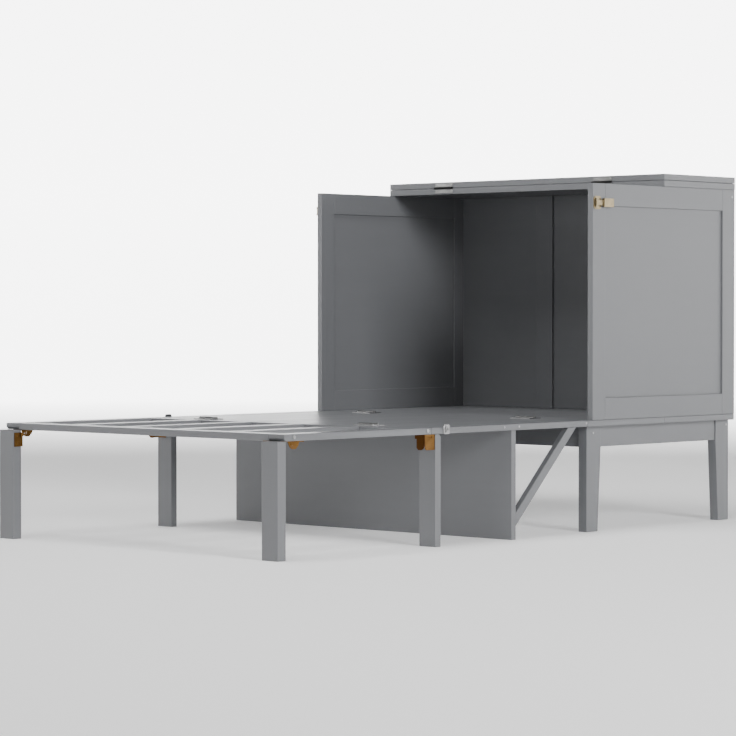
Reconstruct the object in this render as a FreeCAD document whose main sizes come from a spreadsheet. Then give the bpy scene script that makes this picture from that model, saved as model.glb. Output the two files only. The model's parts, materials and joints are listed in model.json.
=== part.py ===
import FreeCAD, Part
import os
import re

import Sketcher

# A cabinet bed, opened out as a bed: a cabinet stands at the head on four tapered legs, its lid is
# folded back, and a mid section and a foot section hinge out of it at mattress height.
# Closed, the foot section lies face to face on the mid section, the mid section stands up as the
# cabinet's front, and the lid folds forward over both. X is the width, Y runs from the foot (-Y)
# to the cabinet's back (+Y) and Z is up, with the origin on the floor under the middle.

Vector = FreeCAD.Vector
Rotation = FreeCAD.Rotation

SIZES = {
    # the deck: three boards in a row, hinged on top at their seams
    "bed_width": 1100,
    "deck_top": 324,
    "board": 18,
    "foot_section": 565,
    "mid_section": 673.5,
    "seam_gap": 0.3,
    "rail_width": 55,
    "cross_rail": 61,
    "slat_width": 54,
    "foot_corner": 6,
    # the folding legs
    "leg_width": 58,
    "foot_leg_depth": 30,
    "foot_overhang": 24,
    "mid_leg_depth": 22,
    "mid_leg_setback": 15,
    "leg_play": 0.3,
    "leg_chamfer": 7,
    # the stand under the mid section
    "stand_place": 336.5,
    "stand_board": 19,
    "brace_thickness": 18,
    "brace_depth": 26,
    "brace_foot": 38,
    "brace_inset": 2,
    # the cabinet
    "cabinet_depth": 692.5,
    "cabinet_top": 1006,
    "closing_gap": 0.5,
    "side_board": 19,
    "front_stile": 57,
    "back_stile": 62,
    "top_rail": 65,
    "bottom_rail": 63,
    "infill": 8,
    "groove_depth": 8,
    "back_board": 19,
    "back_batten": 7,
    "batten_width": 67,
    "batten_place": 337,
    "head_board_front": 341.5,
    "cabinet_leg_inset": 22,
    "cabinet_leg_board": 30,
    "cabinet_leg_top": 66,
    "cabinet_leg_toe": 52,
    "apron_height": 61,
    "apron_board": 19,
    "apron_inset": 3,
    "front_apron_setback": 10,
    # the lid
    "lid_board": 19,
    "lid_depth": 355,
    "lid_overhang": 1,
    "lid_gap": 0.3,
    # the hinges of the deck and of the lid
    "hinge_length": 72,
    "hinge_place": 232,
    "leaf_depth": 25,
    "leaf": 2.2,
    "pin_rise": 3.5,
    "knuckle": 3.4,
    "hinge_pin": 1.5,
    "running_fit": 0.05,
    "knuckle_gap": 0.4,
    "lid_leaf_height": 15,
    "lid_leaf": 1.8,
    "lid_pin_reach": 5.8,
    # the corner hinges of the foot legs
    "corner_pin_out": 9.8,
    "corner_pin_drop": 10,
    "corner_pin": 2,
    "corner_lug": 5,
    "corner_lug_width": 6,
    "shoe_sheet": 3,
    "shoe_wing": 26,
    "shoe_top_drop": 8,
    "shoe_height": 39,
    "bracket_sheet": 2.3,
    "plate_gap": 1,
    "bracket_inset": 21.5,
    "cheek_start": 36,
    "cheek_round": 38,
    "cheek_reach": 59,
    "cheek_drop": 22,
    "cheek_flange": 4,
    "rivet": 3.5,
    "rivet_head": 1.2,
    # the pivots and the ledge brackets of the mid legs
    "mid_pin_drop": 12,
    "mid_pin_inside": 8,
    "mid_pin": 3,
    "mid_pin_length": 40,
    "tongue": 7.4,
    "tongue_half": 8,
    "slot_play": 0.4,
    "slot_floor": 12.5,
    "ledge_inset": 1.5,
    "ledge_reach": 42,
    "ledge_width": 35,
    "ledge_stem": 23,
    "ledge_height": 42,
    "ledge_sheet": 2.3,
    "ledge_head": 12,
    # the side latches
    "latch_setback": 1.5,
    "latch_drop": 75,
    "latch_height": 38,
    "latch_plate_depth": 34,
    "latch_plate": 2.5,
    "latch_corner": 6,
    "latch_arm": 16,
    "latch_pin_place": 7,
    "latch_pin": 1.8,
    "latch_lever": 74,
    "latch_grip": 44,
    "latch_grip_height": 25,
    "latch_grip_thickness": 7,
    "latch_arm_thickness": 3,
    "latch_post": 4,
    "ear_play": 0.3,
    "ear_reach": 7.2,
    "keeper_place": 46,
    "keeper_depth": 25,
    "keeper_height": 26,
    "keeper_drop": 1,
    "keeper": 2.5,
    # small fasteners, and how far each stands from the edge or board that it belongs to
    "bolt_head": 5,
    "bolt_rise": 2,
    "screw_head": 3.2,
    "screw_rise": 1.2,
    "above_middle": 1,
    "bolt_from_foot": 36,
    "bolt_from_fold": 16,
    "screw_before_stand": 32.5,
    "screw_behind_stand": 30.5,
    "screw_from_door": 7,
    "leg_screw_in": 30,
    "leg_screw_drop": 20,
    "rear_screw_in": 13,
    "rear_screw_drop": 15,
    "panel_screw_in": 15,
    "panel_screw_drop": 22,
    # how far a cutter runs past what it cuts, and a fused piece into its neighbour
    "through": 1,
}

# Places that follow from the sizes: lengths along Y, and heights.
PLACES = {
    "side": "bed_width / 2",
    "total_length": "foot_overhang + foot_section + mid_section + pin_rise + board + closing_gap"
                    " + cabinet_depth",
    "foot_y": "foot_overhang - total_length / 2",
    "fold_y": "foot_y + foot_section",
    "door_y": "fold_y + mid_section",
    "front_y": "door_y + pin_rise + board + closing_gap",
    "back_y": "front_y + cabinet_depth",
    "under": "deck_top - board",
    "leg_top": "under - leg_play",
    "hinge_z": "deck_top + pin_rise",
    "inner": "bed_width / 2 - side_board",
    "lid_y": "back_y - lid_depth",
    "lid_pin_y": "lid_y - lid_pin_reach",
    "lid_pin_z": "cabinet_top + lid_board + lid_gap",
    "mid_leg_y": "fold_y + mid_leg_setback",
    "mid_pin_y": "mid_leg_y + mid_leg_depth - mid_pin_inside",
    "mid_pin_z": "under - mid_pin_drop",
    "stand_y": "fold_y + stand_place",
    "corner_x": "side - leg_width",
    "corner_y": "foot_y + foot_leg_depth - foot_overhang",
    "corner_pin_z": "under - corner_pin_drop",
    "latch_bottom": "cabinet_top - latch_drop",
    "latch_y": "front_y + latch_setback",
    "latch_pin_y": "latch_y + latch_pin_place",
    "latch_mid_z": "latch_bottom + latch_height / 2",
    "latch_pin_x": "side + latch_plate + latch_post",
}

doc = FreeCAD.newDocument("cabinet_bed")
sheet = doc.addObject("Spreadsheet::Sheet", "Sizes")
for row, (alias, number) in enumerate(SIZES.items(), start=1):
    sheet.set(f"A{row}", alias)
    sheet.set(f"B{row}", str(number))
    sheet.setAlias(f"B{row}", alias)
doc.recompute()

parts = []


def formula(text):
    """A formula with its places written out and its sizes read from the sheet."""
    def spell(match):
        word = match.group()
        if word in PLACES:
            return "(" + formula(PLACES[word]) + ")"
        return "Sizes." + word if word in SIZES else word
    return re.sub(r"[a-z][a-z0-9_]*", spell, str(text))


def number(text):
    """What a formula comes to now."""
    return float(sheet.evalExpression(formula(text)))


def bind(thing, **formulas):
    """Tie properties of an object to formulas."""
    for name, text in formulas.items():
        thing.setExpression(name, formula(text))


def place(thing, x, y, z, turn=None):
    """Put an object at three formulas, turned by a fixed rotation first."""
    thing.Placement = FreeCAD.Placement(Vector(), turn or Rotation())
    for axis, text in zip("xyz", (x, y, z)):
        thing.setExpression(f".Placement.Base.{axis}", formula(text))


def keep(thing, label):
    """Name a finished sub-part and put it on the list that is written out."""
    thing.Label = label
    parts.append(thing)
    return thing


def box(name, x, y, z, width, depth, height):
    """A plain board: its low corner and its three sizes."""
    thing = doc.addObject("Part::Box", name)
    bind(thing, Length=width, Width=depth, Height=height)
    place(thing, x, y, z)
    return thing


def cylinder(name, x, y, z, radius, length, turn=None):
    """A round bar that starts at a point and runs along Z, turned by a fixed rotation."""
    thing = doc.addObject("Part::Cylinder", name)
    bind(thing, Radius=radius, Height=length)
    place(thing, x, y, z, turn)
    return thing


def fuse(name, things):
    """Several shapes as one."""
    whole = doc.addObject("Part::MultiFuse", name)
    whole.Shapes = things
    whole.Refine = True
    return whole


def cut(name, base, tool):
    """One shape less another."""
    rest = doc.addObject("Part::Cut", name)
    rest.Base = base
    rest.Tool = tool
    return rest


def group(name, things):
    """Separate solids that share one name, such as a set of screws."""
    batch = doc.addObject("Part::Compound", name)
    batch.Links = things
    return batch


def mirror(thing, name):
    """The left-hand twin of a right-hand piece."""
    twin = doc.addObject("Part::Mirroring", name)
    twin.Source = thing
    twin.Base = Vector(0, 0, 0)
    twin.Normal = Vector(1, 0, 0)
    return twin


def both(thing, label):
    """Keep a right-hand piece and its left-hand twin as two sub-parts."""
    keep(thing, label + "_right")
    keep(mirror(thing, label + "_twin"), label + "_left")


def pair(thing, label):
    """Keep a right-hand piece and its left-hand twin as one sub-part of two solids."""
    keep(group(label + "_pair", [thing, mirror(thing, label + "_twin")]), label)


def new_body(name):
    return doc.addObject("PartDesign::Body", name)


def sketch_on(body, role):
    """An empty sketch on one of the body's own origin planes."""
    sketch = body.newObject("Sketcher::SketchObject", body.Name + "_sketch")
    plane = next(item for item in body.Origin.OriginFeatures if item.Role == role)
    sketch.AttachmentSupport = [(plane, "")]
    sketch.MapMode = "FlatFace"
    return sketch


def hold(sketch, kind, first, point, text):
    """Hold one point of a sketch at a formula's distance from its origin."""
    place_number = sketch.addConstraint(Sketcher.Constraint(kind, -1, 1, first, point, number(text)))
    sketch.setExpression(f"Constraints[{place_number}]", formula(text))


def outline(body, role, corners):
    """A closed outline whose corners are held at formulas."""
    sketch = sketch_on(body, role)
    spots = [Vector(number(across), number(along), 0) for across, along in corners]
    count = len(spots)
    for index in range(count):
        sketch.addGeometry(Part.LineSegment(spots[index], spots[(index + 1) % count]), False)
    for index in range(count):
        sketch.addConstraint(Sketcher.Constraint("Coincident", index, 2, (index + 1) % count, 1))
    for index, (across, along) in enumerate(corners):
        hold(sketch, "DistanceX", index, 1, across)
        hold(sketch, "DistanceY", index, 1, along)
    return sketch


def ring(body, role, across, along, radius):
    """A circle held at a place, with its radius tied to a formula."""
    sketch = sketch_on(body, role)
    middle = Vector(number(across), number(along), 0)
    sketch.addGeometry(Part.Circle(middle, Vector(0, 0, 1), number(radius)), False)
    hold(sketch, "DistanceX", 0, 3, across)
    hold(sketch, "DistanceY", 0, 3, along)
    size = sketch.addConstraint(Sketcher.Constraint("Radius", 0, number(radius)))
    sketch.setExpression(f"Constraints[{size}]", formula(radius))
    return sketch


def extrude(body, sketch, length, kind="Pad", midplane=False, reverse=False):
    """A pad or pocket of a sketch, with its length tied to a formula."""
    feature = body.newObject("PartDesign::" + kind, body.Name + "_" + kind.lower())
    feature.Profile = sketch
    feature.Midplane = midplane
    feature.Reversed = reverse
    bind(feature, Length=length)
    return feature


def prism(name, role, corners, length, at, turn=None, midplane=False, reverse=False):
    """A body that is one outline drawn out to a length."""
    body = new_body(name)
    extrude(body, outline(body, role, corners), length, midplane=midplane, reverse=reverse)
    place(body, *at, turn)
    return body


def rectangle(left, low, right, high):
    return [(left, low), (right, low), (right, high), (left, high)]


# ---------------------------------------------------------------- the cabinet's side panels
def side_panel():
    """Two stiles and two rails, grooved along their inner edges, round a thin infill board."""
    wall = "(side_board - infill) / 2"
    inside = f"{wall} + infill"

    def stile(name, width, y, groove_at_end):
        """An upright with a groove in the edge that meets the rails."""
        edge = width if groove_at_end else "0"
        floor = f"{width} - groove_depth" if groove_at_end else "groove_depth"
        corners = [("0", "0"), ("side_board", "0"), ("side_board", width), ("0", width)]
        body = new_body(name)
        extrude(body, outline(body, "XY_Plane", corners), "cabinet_top - deck_top")
        groove = outline(body, "XY_Plane", [(wall, floor), (inside, floor), (inside, edge), (wall, edge)])
        extrude(body, groove, "cabinet_top - deck_top", kind="Pocket", reverse=True)
        place(body, "side - side_board", y, "deck_top")
        return body

    def rail(name, height, z, groove_on_top):
        """A crosspiece with a groove in the edge that meets the infill."""
        edge = height if groove_on_top else "0"
        floor = f"{height} - groove_depth" if groove_on_top else "groove_depth"
        body = new_body(name)
        length = "cabinet_depth - front_stile - back_stile"
        extrude(body, outline(body, "XZ_Plane", rectangle("0", "0", "side_board", height)), length,
                reverse=True)
        groove = outline(body, "XZ_Plane", [(wall, floor), (inside, floor), (inside, edge), (wall, edge)])
        extrude(body, groove, length, kind="Pocket")
        place(body, "side - side_board", "front_y + front_stile", z)
        return body

    both(stile("front_stile_piece", "front_stile", "front_y", True), "front_stile")
    both(stile("back_stile_piece", "back_stile", "back_y - back_stile", False), "back_stile")
    both(rail("top_rail_piece", "top_rail", "cabinet_top - top_rail", False), "top_rail")
    both(rail("bottom_rail_piece", "bottom_rail", "deck_top", True), "bottom_rail")
    infill = box("infill_piece", f"side - side_board + {wall}", "front_y + front_stile - groove_depth",
                 "deck_top + bottom_rail - groove_depth", "infill",
                 "cabinet_depth - front_stile - back_stile + 2 * groove_depth",
                 "cabinet_top - deck_top - top_rail - bottom_rail + 2 * groove_depth")
    both(infill, "side_infill")


# ---------------------------------------------------------------- the rest of the cabinet
def cabinet_carcass():
    """The back with its two inner battens, the fixed top board and the head boards of the deck."""
    keep(box("back", "-inner", "back_y - back_board", "deck_top", "2 * inner", "back_board",
             "cabinet_top - deck_top"), "back_panel")
    pair(box("back_batten_piece", "side - batten_place - batten_width",
             "back_y - back_board - back_batten", "deck_top", "batten_width", "back_batten",
             "cabinet_top - deck_top"), "back_battens")
    keep(box("top", "-side - lid_overhang", "lid_y", "cabinet_top", "bed_width + 2 * lid_overhang",
             "lid_depth", "lid_board"), "rear_top_board")
    keep(box("head_front", "-side", "door_y + seam_gap / 2", "under", "bed_width",
             "front_y + head_board_front - door_y - seam_gap / 2", "board"), "head_deck_front")
    keep(box("head_back", "-side", "front_y + head_board_front", "under", "bed_width",
             "cabinet_depth - head_board_front", "board"), "head_deck_back")


def cabinet_stand():
    """Four tapered legs, joined under the deck by aprons."""
    taper = [("0", "0"), ("cabinet_leg_toe", "0"), ("cabinet_leg_top", "under - apron_height"),
             ("cabinet_leg_top", "under"), ("0", "under")]
    leg_x = "side - cabinet_leg_inset - cabinet_leg_board"
    pair(prism("front_leg_piece", "YZ_Plane", taper, "cabinet_leg_board", (leg_x, "front_y", "0")),
         "cabinet_front_legs")
    mirrored = [(f"-({across})", along) for across, along in taper]
    pair(prism("rear_leg_piece", "YZ_Plane", mirrored, "cabinet_leg_board", (leg_x, "back_y", "0")),
         "cabinet_rear_legs")
    pair(box("side_apron_piece", "side - cabinet_leg_inset - apron_inset - apron_board",
             "front_y + cabinet_leg_top", "under - apron_height", "apron_board",
             "cabinet_depth - 2 * cabinet_leg_top", "apron_height"), "side_aprons")
    span = "bed_width - 2 * cabinet_leg_inset - 2 * cabinet_leg_board"
    aprons = [box(f"cross_apron_{index}", f"-({span}) / 2", y, "under - apron_height", span,
                  "apron_board", "apron_height")
              for index, y in enumerate(("front_y + front_apron_setback",
                                         "back_y - front_apron_setback - apron_board"))]
    keep(group("cross_apron_set", aprons), "cross_aprons")


def lid():
    """The folding front half of the top, shown lying back on the fixed half."""
    keep(box("lid_piece", "-side - lid_overhang", "lid_y", "lid_pin_z + lid_gap",
             "bed_width + 2 * lid_overhang", "lid_depth", "lid_board - 2 * lid_gap"), "lid")


# ---------------------------------------------------------------- the folding sections
def foot_section():
    """A frame of two side rails and two cross rails with four slats along it."""
    length = "foot_section - seam_gap / 2"
    rail = new_body("foot_side_rail_piece")
    corners = [("foot_corner", "0"), (length, "0"), (length, "board"), ("0", "board"),
               ("0", "foot_corner")]
    extrude(rail, outline(rail, "YZ_Plane", corners), "rail_width")
    place(rail, "side - rail_width", "foot_y", "under")
    both(rail, "foot_side_rail")
    span = "bed_width - 2 * rail_width"
    keep(box("foot_end", f"-({span}) / 2", "foot_y", "under", span, "rail_width", "board"),
         "foot_end_rail")
    keep(box("foot_cross", f"-({span}) / 2", "fold_y - seam_gap / 2 - cross_rail", "under", span,
             "cross_rail", "board"), "foot_cross_rail")
    hole = f"(({span}) - 4 * slat_width) / 5"
    for index in range(4):
        start = f"-({span}) / 2 + {hole} + {index} * ({hole} + slat_width)"
        keep(box(f"slat_{index + 1}", start, "foot_y + rail_width", "under", "slat_width",
                 f"{length} - rail_width - cross_rail", "board"), f"foot_slat_{index + 1}")


def mid_section():
    """One solid board with the stand board and its two slanting braces fixed under it."""
    keep(box("mid", "-side", "fold_y + seam_gap / 2", "under", "bed_width",
             "mid_section - seam_gap", "board"), "mid_deck")
    keep(box("stand", "-side + brace_inset", "stand_y", "0", "bed_width - 2 * brace_inset",
             "stand_board", "under"), "stand_board")
    rise = "brace_depth * sqrt(2)"
    corners = [("0", "brace_foot"), ("under - brace_foot", "under"),
               (f"under - brace_foot - {rise}", "under"), ("0", f"brace_foot + {rise}")]
    pair(prism("brace_piece", "YZ_Plane", corners, "brace_thickness",
               ("side - brace_inset - brace_thickness", "stand_y + stand_board", "0")), "braces")


# ---------------------------------------------------------------- butt hinges
def knuckle_block(name, x, y, z, length):
    """The round knuckle of a hinge, lying along X."""
    return cylinder(name, x, y, z, "knuckle", length, Rotation(Vector(0, 1, 0), 90))


def bored(name, solid, x, y, z, length):
    """A leaf with the hole for its pin drilled along X."""
    drill = cylinder(name + "_drill", x, y, z, "hinge_pin + running_fit", length,
                     Rotation(Vector(0, 1, 0), 90))
    return cut(name, solid, drill)


def hinge_leaf(name, pin_y, pin_z, plate, outer):
    """One leaf: a plate with either the two outer knuckles or the middle one.

    The plate is a box given by its low corner and sizes in Y and Z. It stops a clearance short
    of the other leaf's knuckles.
    """
    left = "side - hinge_place - hinge_length / 2"
    third = "hinge_length / 3"
    plate_y, plate_z, depth, height = plate
    sheet_box = box(name + "_plate", left, plate_y, plate_z, "hinge_length", depth, height)
    spans = [(left, third), (f"{left} + 2 * {third}", third)] if outer else [
        (f"{left} + {third} + knuckle_gap", f"{third} - 2 * knuckle_gap")]
    rooms = [(f"{left} + {third}", third)] if outer else [
        (f"{left} - through", f"{third} + through + knuckle_gap"),
        (f"{left} + 2 * {third} - knuckle_gap", f"{third} + through + knuckle_gap")]
    notches = [cylinder(f"{name}_room_{index}", start, pin_y, pin_z, "knuckle + knuckle_gap", length,
                        Rotation(Vector(0, 1, 0), 90)) for index, (start, length) in enumerate(rooms)]
    clear_plate = cut(name + "_cleared", sheet_box, group(name + "_rooms", notches))
    rounds = [knuckle_block(f"{name}_knuckle_{index}", start, pin_y, pin_z, length)
              for index, (start, length) in enumerate(spans)]
    solid = fuse(name + "_solid", [clear_plate] + rounds)
    return bored(name, solid, left, pin_y, pin_z, "hinge_length")


def hinge_pins(name, pin_y, pin_z):
    """The two pins of a pair of hinges, right and left."""
    pins = [cylinder(f"{name}_{index}", start, pin_y, pin_z, "hinge_pin", "hinge_length",
                     Rotation(Vector(0, 1, 0), 90))
            for index, start in enumerate(("side - hinge_place - hinge_length / 2",
                                           "-side + hinge_place - hinge_length / 2"))]
    keep(group(name + "_pair", pins), name)


def deck_hinge(name, pin_y):
    """A pair of hinges let in on top of the deck across one seam."""
    toe = ("{0} - leaf_depth".format(pin_y), "deck_top", "leaf_depth", "leaf")
    heel = (pin_y, "deck_top", "leaf_depth", "leaf")
    pair(hinge_leaf(name + "_toe", pin_y, "hinge_z", toe, outer=False), name + "_foot_leaves")
    pair(hinge_leaf(name + "_heel", pin_y, "hinge_z", heel, outer=True), name + "_head_leaves")
    hinge_pins(name + "_pins", pin_y, "hinge_z")


def lid_hinge():
    """A pair of hinges on the front edges of the two top boards."""
    reach = "lid_pin_reach"
    low = ("lid_y - lid_leaf", "lid_pin_z - lid_gap - lid_leaf_height", "lid_leaf", "lid_leaf_height")
    high = ("lid_y - lid_leaf", "lid_pin_z + lid_gap", "lid_leaf", "lid_leaf_height")
    fixed = lid_leaf("lid_fixed", low, "lid_pin_z - lid_leaf", outer=True, reach=reach)
    pair(fixed, "lid_hinge_fixed_leaves")
    moving = lid_leaf("lid_moving", high, "lid_pin_z", outer=False, reach=reach)
    pair(moving, "lid_hinge_moving_leaves")
    hinge_pins("lid_hinge_pins", "lid_pin_y", "lid_pin_z")


def lid_leaf(name, plate, web_z, outer, reach):
    """A leaf on a board's edge, with short webs that carry its knuckles out to the pin."""
    left = "side - hinge_place - hinge_length / 2"
    third = "hinge_length / 3"
    plate_y, plate_z, depth, height = plate
    spans = [(left, third), (f"{left} + 2 * {third}", third)] if outer else [
        (f"{left} + {third} + knuckle_gap", f"{third} - 2 * knuckle_gap")]
    pieces = [box(name + "_plate", left, plate_y, plate_z, "hinge_length", depth, height)]
    for index, (start, length) in enumerate(spans):
        pieces.append(knuckle_block(f"{name}_knuckle_{index}", start, "lid_pin_y", "lid_pin_z", length))
        pieces.append(box(f"{name}_web_{index}", start, "lid_pin_y", web_z, length,
                          f"{reach} - lid_leaf / 2", "lid_leaf"))
    return bored(name, fuse(name + "_solid", pieces), left, "lid_pin_y", "lid_pin_z", "hinge_length")


# ---------------------------------------------------------------- foot legs and corner hinges
CORNER_TURN = Rotation(Vector(0, 0, 1), 45)
OUT_X = "corner_pin_out / sqrt(2)"


def foot_legs():
    """The two foot legs. Each stands out past the deck and folds inwards across its corner."""
    both(box("foot_leg_piece", "side - leg_width", "foot_y - foot_overhang", "0", "leg_width",
             "foot_leg_depth", "leg_top"), "foot_leg")


def lug(name, offset, width):
    """A rounded ear round the corner pin, drawn in the upright plane across the corner."""
    body = new_body(name)
    corners = [("0", "shoe_top_drop - corner_pin_drop - 2 * corner_lug"), ("corner_pin_out", "-corner_lug"),
               ("corner_pin_out", "corner_lug"), ("0", "corner_pin_drop - shoe_top_drop")]
    extrude(body, outline(body, "YZ_Plane", corners), width)
    extrude(body, ring(body, "YZ_Plane", "corner_pin_out", "0", "corner_lug"), width)
    place(body, f"corner_x + ({offset}) / sqrt(2)", f"corner_y + ({offset}) / sqrt(2)", "corner_pin_z",
          CORNER_TURN)
    return body


def corner_drill(name, radius):
    """The bore of the corner pin, right across the corner."""
    length = "4 * corner_lug_width"
    start = f"({length}) / 2 / sqrt(2)"
    return cylinder(name, f"corner_x - {OUT_X} - {start}", f"corner_y + {OUT_X} - {start}",
                    "corner_pin_z", radius, length, Rotation(Vector(0, 0, 1), Vector(1, 1, 0)))


def leg_shoes():
    """An angle round the leg's inner corner, with two ears for the corner pin."""
    base_z = "under - shoe_top_drop - shoe_height"
    across = box("shoe_across", "corner_x - shoe_sheet", "corner_y", base_z, "shoe_wing + shoe_sheet",
                 "shoe_sheet", "shoe_height")
    along = box("shoe_along", "corner_x - shoe_sheet", "corner_y - shoe_wing", base_z, "shoe_sheet",
                "shoe_wing + shoe_sheet", "shoe_height")
    half = "corner_lug_width / 2 + knuckle_gap"
    ears = [lug("shoe_ear_out", half, "corner_lug_width"),
            lug("shoe_ear_in", f"-({half}) - corner_lug_width", "corner_lug_width")]
    shoe = cut("shoe", fuse("shoe_solid", [across, along] + ears),
               corner_drill("shoe_drill", "corner_pin + running_fit"))
    both(shoe, "foot_leg_shoe")


def leg_brackets():
    """The fixed half: a plate under the deck with the middle lug, and a cheek at the outer side."""
    top = box("bracket_top", "corner_x - shoe_wing", "corner_y + plate_gap", "under - bracket_sheet",
              "leg_width + shoe_wing - bracket_inset", "cheek_start", "bracket_sheet")
    body = new_body("bracket_lug")
    corners = rectangle("corner_pin_out - corner_lug", "0", "corner_pin_out + corner_lug",
                        "corner_pin_drop")
    extrude(body, outline(body, "YZ_Plane", corners), "corner_lug_width", midplane=True)
    extrude(body, ring(body, "YZ_Plane", "corner_pin_out", "0", "corner_lug"), "corner_lug_width",
            midplane=True)
    place(body, "corner_x", "corner_y", "corner_pin_z", CORNER_TURN)
    cheek = prism("bracket_cheek", "YZ_Plane",
                  [("0", "-cheek_flange"), ("cheek_round / 5", "-cheek_drop * 0.8"),
                   ("cheek_round / 2.5", "-cheek_drop"), ("cheek_round * 0.75", "-cheek_drop"),
                   ("cheek_round", "-cheek_drop * 0.6"), ("cheek_round * 1.1", "-cheek_flange"),
                   ("cheek_reach", "-cheek_flange"), ("cheek_reach", "0"), ("0", "0")],
                  "bracket_sheet", ("side - bracket_inset - bracket_sheet", "foot_y + cheek_start",
                                    "under"))
    rivet = cylinder("bracket_rivet", "side - bracket_inset - bracket_sheet",
                     "foot_y + cheek_start + cheek_round / 3", "under - cheek_drop / 2.5", "rivet",
                     "bracket_sheet + rivet_head", Rotation(Vector(0, 1, 0), 90))
    bracket = cut("bracket", fuse("bracket_solid", [top, body, cheek, rivet]),
                  corner_drill("bracket_drill", "corner_pin"))
    pair(bracket, "foot_leg_brackets")
    pair(corner_drill("corner_pin_piece", "corner_pin"), "foot_leg_pins")


# ---------------------------------------------------------------- mid legs
def mid_legs():
    """A leg with a slot in its top for the hanger and a bore across it for the pivot pin."""
    body = new_body("mid_leg_piece")
    corners = [("0", "0"), ("mid_leg_depth", "0"), ("mid_leg_depth", "leg_top - leg_chamfer"),
               ("mid_leg_depth - leg_chamfer", "leg_top"), ("0", "leg_top")]
    extrude(body, outline(body, "YZ_Plane", corners), "leg_width")
    place(body, "side - leg_width", "mid_leg_y", "0")
    slot = box("mid_leg_slot", "side - leg_width / 2 - tongue / 2 - slot_play", "mid_leg_y - through",
               "mid_pin_z - slot_floor", "tongue + 2 * slot_play", "mid_leg_depth + 2 * through",
               "slot_floor + mid_pin_drop")
    bore = cylinder("mid_leg_bore", "side - leg_width / 2 - mid_pin_length / 2 - running_fit",
                    "mid_pin_y", "mid_pin_z", "mid_pin + running_fit",
                    "mid_pin_length + 2 * running_fit", Rotation(Vector(0, 1, 0), 90))
    both(cut("mid_leg", body, fuse("mid_leg_cuts", [slot, bore])), "mid_leg")


def mid_leg_hangers():
    """The tongue under the mid section that enters the leg's slot, with its pivot pin."""
    body = new_body("hanger")
    corners = rectangle("-tongue_half", "0", "tongue_half", "mid_pin_drop")
    extrude(body, outline(body, "YZ_Plane", corners), "tongue", midplane=True)
    extrude(body, ring(body, "YZ_Plane", "0", "0", "tongue_half"), "tongue", midplane=True)
    place(body, "side - leg_width / 2", "mid_pin_y", "mid_pin_z")
    pin = cylinder("mid_pin_piece", "side - leg_width / 2 - mid_pin_length / 2", "mid_pin_y",
                   "mid_pin_z", "mid_pin", "mid_pin_length", Rotation(Vector(0, 1, 0), 90))
    pair(cut("hanger_bored", body, pin), "mid_leg_hangers")
    pair(pin, "mid_leg_pins")


def mid_leg_ledges():
    """A brass ledge on the leg that carries the foot section's end across the seam."""
    top = "leg_top"
    start = "mid_leg_y - ledge_reach"
    plate = box("ledge_top", "side - ledge_width - ledge_inset", start,
                f"{top} - ledge_sheet", "ledge_width", "ledge_reach", "ledge_sheet")
    web = prism("ledge_web", "YZ_Plane",
                [("0", "0"), ("0", "-ledge_height * 0.7"), ("ledge_reach * 0.2", "-ledge_height"),
                 ("ledge_reach", "-ledge_height"), ("ledge_reach", "0")],
                "ledge_sheet", ("side - ledge_inset - ledge_sheet", start, top))
    tee = prism("ledge_tee", "XZ_Plane",
                [("0", "0"), ("0", "-ledge_head"), ("-(ledge_width - ledge_stem) / 4", "-ledge_head"),
                 ("-(ledge_width - ledge_stem) / 4", "-ledge_height * 0.85"),
                 ("-ledge_width / 2 + ledge_stem / 4", "-ledge_height"),
                 ("-ledge_width / 2 - ledge_stem / 4", "-ledge_height"),
                 ("-ledge_width + (ledge_width - ledge_stem) / 2", "-ledge_height * 0.85"),
                 ("-ledge_width + (ledge_width - ledge_stem) / 2", "-ledge_head"),
                 ("-ledge_width", "-ledge_head"), ("-ledge_width", "0")],
                "ledge_sheet", ("side - ledge_inset", start, top), reverse=True)
    foot = box("ledge_foot", "side - ledge_width - ledge_inset", "mid_leg_y - ledge_sheet",
               f"{top} - ledge_height", "ledge_width", "ledge_sheet", "ledge_height")
    rivet = cylinder("ledge_rivet", "side - ledge_inset - ledge_sheet",
                     "mid_leg_y - ledge_reach / 4", f"{top} - ledge_head / 1.6", "rivet",
                     "ledge_sheet + rivet_head", Rotation(Vector(0, 1, 0), 90))
    both(fuse("ledge", [plate, web, tee, foot, rivet]), "mid_leg_ledge")


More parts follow.
